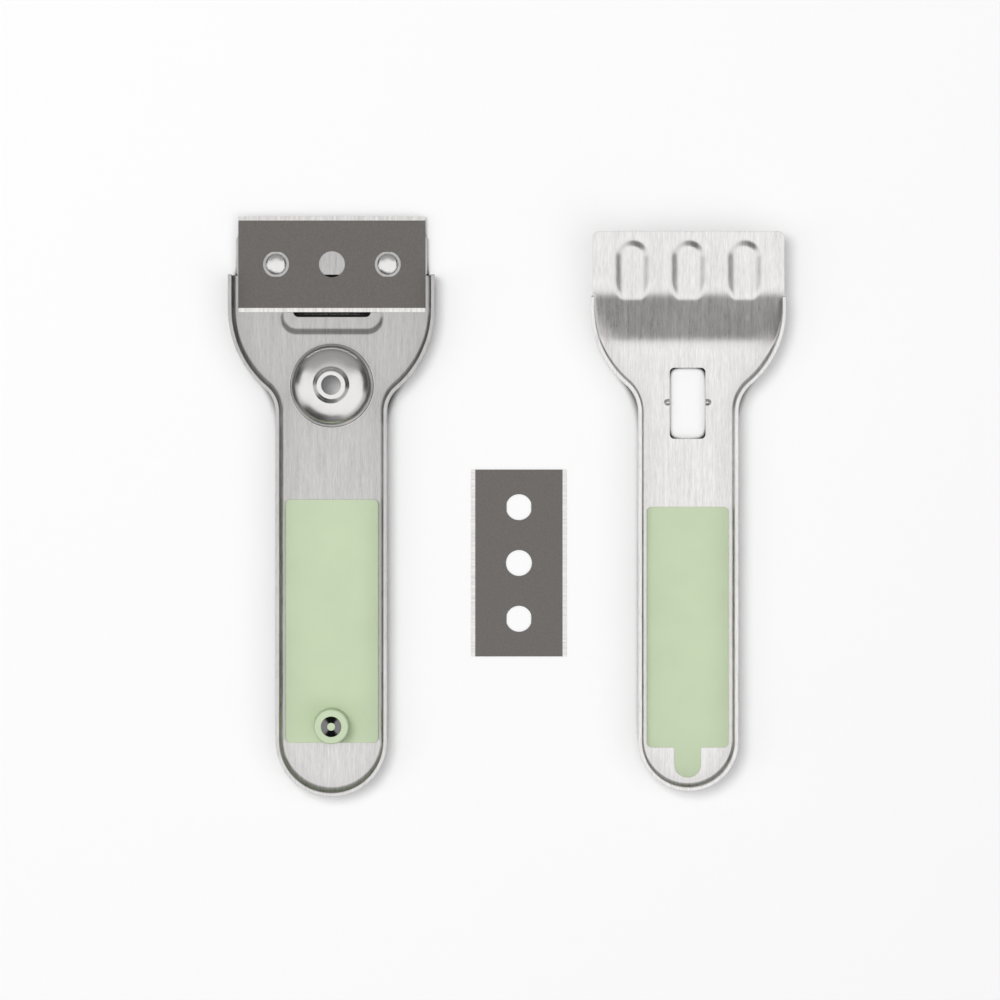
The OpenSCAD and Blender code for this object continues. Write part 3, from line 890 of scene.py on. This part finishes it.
def blade_material(name, across):
    """
    Dark rolled blade steel with a bright ground strip along each long edge.
    across is the number of the axis that runs across the blade.
    """
    finish = bpy.context.scene.scraper_finish
    low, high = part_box(name)
    middle = (low[across] + high[across]) / 2
    strip_start = (high[across] - low[across]) / 2 - finish.ground_width
    material, tree, shader = new_material("Blade Steel " + name.split("_")[0].title())
    where = object_place(tree, (-1400, 0))
    centred = number(tree, (-1000, 0), "SUBTRACT", split(tree, (-1200, 0), where)[across], middle)
    away = number(tree, (-820, 0), "ABSOLUTE", centred)
    strip = spread(tree, (-640, 0), away, (strip_start, strip_start + STRIP_EDGE), (0, 1))
    grit = noise(tree, (-1000, -300), where, 3200, detail=3)
    dark = spread(tree, (-640, -300), grit, NOISE_SPAN, (0.9, 1.1))
    body = shaded(tree, (-440, -300), finish.blade, dark)
    scale = [220, 220, 220]
    scale[1 - across] = 2400
    rub = noise(tree, (-1000, -600), stretched(tree, (-1200, -600), where, scale), 1, detail=4)
    bright = spread(tree, (-640, -600), rub, NOISE_SPAN, (0.80, 1.08))
    edge = shaded(tree, (-440, -600), finish.ground, bright)
    tone = node(tree, "ShaderNodeMix", (-220, 0), {"Factor": strip, 6: body, 7: edge}, data_type="RGBA")
    feed(tree, shader, {
        "Base Color": tone.outputs[2],
        "Roughness": spread(tree, (-220, -260), strip, (0, 1), (0.5, 0.3)),
        "Metallic": 0.9,
    })
    return material


def grip_material():
    """Pale green moulded plastic, matt with a very fine grain."""
    if "Moulded Grip" in bpy.data.materials:
        return bpy.data.materials["Moulded Grip"]
    material, tree, shader = new_material("Moulded Grip")
    where = object_place(tree, (-1000, 0))
    shade = spread(tree, (-580, 0), noise(tree, (-800, 0), where, 120), NOISE_SPAN, (0.975, 1.02))
    fine = noise(tree, (-800, -300), where, 5000)
    edge = soft_edge(tree, (-580, -500), GRIP_EDGE)
    feed(tree, shader, {
        "Base Color": shaded(tree, (-360, 0), bpy.context.scene.scraper_finish.green, shade),
        "Normal": bumped(tree, (-300, -300), edge, fine, GRIP_DEPTH, 0.3),
        "Roughness": 0.55,
        "Specular IOR Level": 0.35,
    })
    return material


class SCRAPER_OT_finish(bpy.types.Operator):
    """Gives the blades, studs, ring and grips their finishes"""

    bl_idname = "scraper.finish_parts"
    bl_label = "Finish Blades and Grips"

    def execute(self, context):
        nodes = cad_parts
        paint(nodes["fitted_blade"], blade_material("fitted_blade", 1))
        paint(nodes["spare_blade"], blade_material("spare_blade", 0))
        paint(nodes["locating_studs"], polished_material())
        paint(nodes["post_ring"], ring_painted_reflection_material())
        for name in ("holder_grip", "cover_grip"):
            paint(nodes[name], grip_material())
        return {"FINISHED"}


# Stage


# The light tent. Each row is a heading in degrees from +X towards +Y, how bright the tent's side is
# there, and how low its bright top reaches, as the Z of a direction.
TENT = (
    (-180, 1.15, 0.45), (-152, 1.15, 0.50), (-140, 0.12, 0.71), (-106, 0.12, 0.71), (-94, 0.33, 0.69),
    (-78, 0.37, 0.69), (-64, 1.0, 0.50), (-16, 1.0, 0.50), (-6, 0.13, 0.60), (26, 0.13, 0.60),
    (38, 0.46, 0.86), (145, 0.46, 0.86), (153, 0.13, 0.60), (174, 0.13, 0.60), (180, 1.15, 0.45),
)


TENT_TOP = 1.3  # brightness of the top
TOP_BLEND = 0.12  # how softly the top starts
SIDE_FOOT = 0.45  # share of its brightness that a side has at its foot
SIDE_FULL = 0.6  # height at which it has all of it, as the Z of a direction


def around(tree, turn, column, place):
    """A smooth ramp through one column of the tent's table."""
    ramp = node(tree, "ShaderNodeValToRGB", place, {"Fac": turn})
    ramp.color_ramp.interpolation = "EASE"
    stops = ramp.color_ramp.elements
    while len(stops) > 1:
        stops.remove(stops[-1])
    stops[0].position = 0.0
    for i, side in enumerate(TENT):
        stop = stops.new((side[0] + 180) / 360) if i else stops[0]
        stop.color = (*[side[column]] * 3, 1)
    return ramp.outputs["Color"]


def sky(world):
    """A light tent with a bright top that reaches lower on some sides than on others."""
    world.use_nodes = True
    tree = world.node_tree
    tree.nodes.clear()
    where = node(tree, "ShaderNodeTexCoord", (-900, 0)).outputs["Generated"]
    x, y, z = split(tree, (-700, 0), where)
    heading = number(tree, (-500, 200), "ARCTAN2", y, x)
    turn = spread(tree, (-320, 200), heading, (-PI, PI), (0, 1))
    side_light = around(tree, turn, 1, (-140, 300))
    top_edge = around(tree, turn, 2, (-140, 40))
    low = spread(tree, (-320, -60), z, (0.0, SIDE_FULL), (SIDE_FOOT, 1.0))
    top_full = number(tree, (60, -200), "ADD", top_edge, TOP_BLEND)
    overhead = spread(
        tree, (220, -300), z, (top_edge, top_full), (0, 1), interpolation_type="SMOOTHSTEP"
    )
    sides = number(tree, (160, 100), "MULTIPLY", side_light, low)
    inputs = {"Factor": overhead, "A": sides, "B": TENT_TOP}
    total = node(tree, "ShaderNodeMix", (400, 0), inputs, data_type="FLOAT")
    back = node(tree, "ShaderNodeBackground", (700, 0), {"Strength": total.outputs["Result"]})
    node(tree, "ShaderNodeOutputWorld", (900, 0), {0: back.outputs[0]})


# Painted shade: the table's colour and glow are painted dark where it is closely shut in.
SHUT_IN_REACH = 0.0075  # how far it looks for what shuts it in, in metres
SHUT_IN_SPAN = (0.44, 0.52)  # share of open sky at which it is fully dark, and at which it is white
TABLE_SHADE_AND_WHITE = (0.015, 0.9)  # its dark and its white
TABLE_LIFT = 0.08  # glow that keeps the white table white in the picture and in reflections

KEY_PLACE = (-0.27, 0.20, 1.3)
SENSOR = 36  # width of the camera's sensor in mm


class SCRAPER_OT_stage(bpy.types.Operator):
    """Makes the white table, the light tent, the key light and the camera"""

    bl_idname = "scraper.build_stage"
    bl_label = "Build Stage"

    def execute(self, context):
        scene = context.scene
        stage = scene.scraper_stage
        scene.view_settings.view_transform = "Standard"
        bpy.ops.mesh.primitive_plane_add(size=6, location=(0, 0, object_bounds()[0].z))
        table = context.object
        table.name = "table"
        paint(table, self.table_material())
        table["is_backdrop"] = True
        if scene.world is None:
            scene.world = bpy.data.worlds.new("Tent")
        sky(scene.world)
        bpy.ops.object.light_add(type="AREA", location=KEY_PLACE)
        key = context.object
        key.name = "key"
        key.data.shape = "DISK"
        key.data.size = stage.key_size
        key.data.energy = stage.key_power
        key.visible_glossy = False
        key.rotation_euler = (-key.location).to_track_quat("-Z", "Y").to_euler()
        key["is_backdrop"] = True
        place = (stage.shift_x, stage.shift_y, stage.camera_height)
        bpy.ops.object.camera_add(location=place, rotation=(0, 0, 0))
        camera = context.object
        camera.data.sensor_width = SENSOR
        camera.data.lens = SENSOR * stage.camera_height / stage.view_width
        camera.data.clip_start = 0.01
        camera.data.clip_end = 20
        scene.camera = camera
        return {"FINISHED"}

    def table_material(self):
        """White to the camera and in reflections, with soft shadows kept, and with painted shade where it
        is closely shut in.
        """
        material, tree, shader = new_material("White Table With Painted Shade")
        reach = {"Distance": SHUT_IN_REACH}
        # Painted shade: ambient occlusion turns the table's colour and glow nearly black under and between
        # the parts.
        shut_in_shade = node(tree, "ShaderNodeAmbientOcclusion", (-900, 0), reach, samples=32)
        white = spread(tree, (-680, 0), shut_in_shade.outputs["AO"], SHUT_IN_SPAN, TABLE_SHADE_AND_WHITE)
        tone = node(tree, "ShaderNodeCombineColor", (-460, 0), {0: white, 1: white, 2: white})
        ray = node(tree, "ShaderNodeLightPath", (-1100, -400)).outputs
        direct = number(tree, (-900, -400), "MAXIMUM", ray["Is Camera Ray"], ray["Is Glossy Ray"])
        seen = number(tree, (-700, -400), "MAXIMUM", direct, ray["Is Transmission Ray"])
        glow = number(tree, (-460, -300), "MULTIPLY", seen, white)
        feed(tree, shader, {
            "Base Color": tone.outputs[0],
            "Emission Color": (1, 1, 1, 1),
            "Emission Strength": number(tree, (-280, -300), "MULTIPLY", glow, TABLE_LIFT),
            "Roughness": 0.9,
            "Specular IOR Level": 0,
        })
        return material


class SCRAPER_PT_panel(bpy.types.Panel):
    """Lists the steps that build the scraper"""

    bl_label = "Hob Scraper"
    bl_idname = "SCRAPER_PT_panel"
    bl_space_type = "VIEW_3D"
    bl_region_type = "UI"
    bl_category = "Scraper"

    def draw(self, context):
        for name, settings in SETTINGS.items():
            box = self.layout.box()
            box.label(text=settings.__name__.replace("Settings", ""))
            for key in settings.__annotations__:
                box.prop(getattr(context.scene, name), key)
        for step in STEPS:
            self.layout.operator(step.bl_idname)


SETTINGS = {
    "scraper_sheet": SheetSettings,
    "scraper_holder": HolderSettings,
    "scraper_cover": CoverSettings,
    "scraper_finish": FinishSettings,
    "scraper_stage": StageSettings,
}
STEPS = (SCRAPER_OT_holder, SCRAPER_OT_cover, SCRAPER_OT_finish, SCRAPER_OT_stage)


def register():
    for kind in (*SETTINGS.values(), *STEPS, SCRAPER_PT_panel):
        bpy.utils.register_class(kind)
    for name, settings in SETTINGS.items():
        setattr(bpy.types.Scene, name, bpy.props.PointerProperty(type=settings))


def unregister():
    for name in SETTINGS:
        delattr(bpy.types.Scene, name)
    for kind in reversed((*SETTINGS.values(), *STEPS, SCRAPER_PT_panel)):
        bpy.utils.unregister_class(kind)


def main():
    register()
    bpy.ops.scraper.build_holder()
    bpy.ops.scraper.build_cover()
    bpy.ops.scraper.finish_parts()
    bpy.ops.scraper.build_stage()


if __name__ == "__main__":
    main()
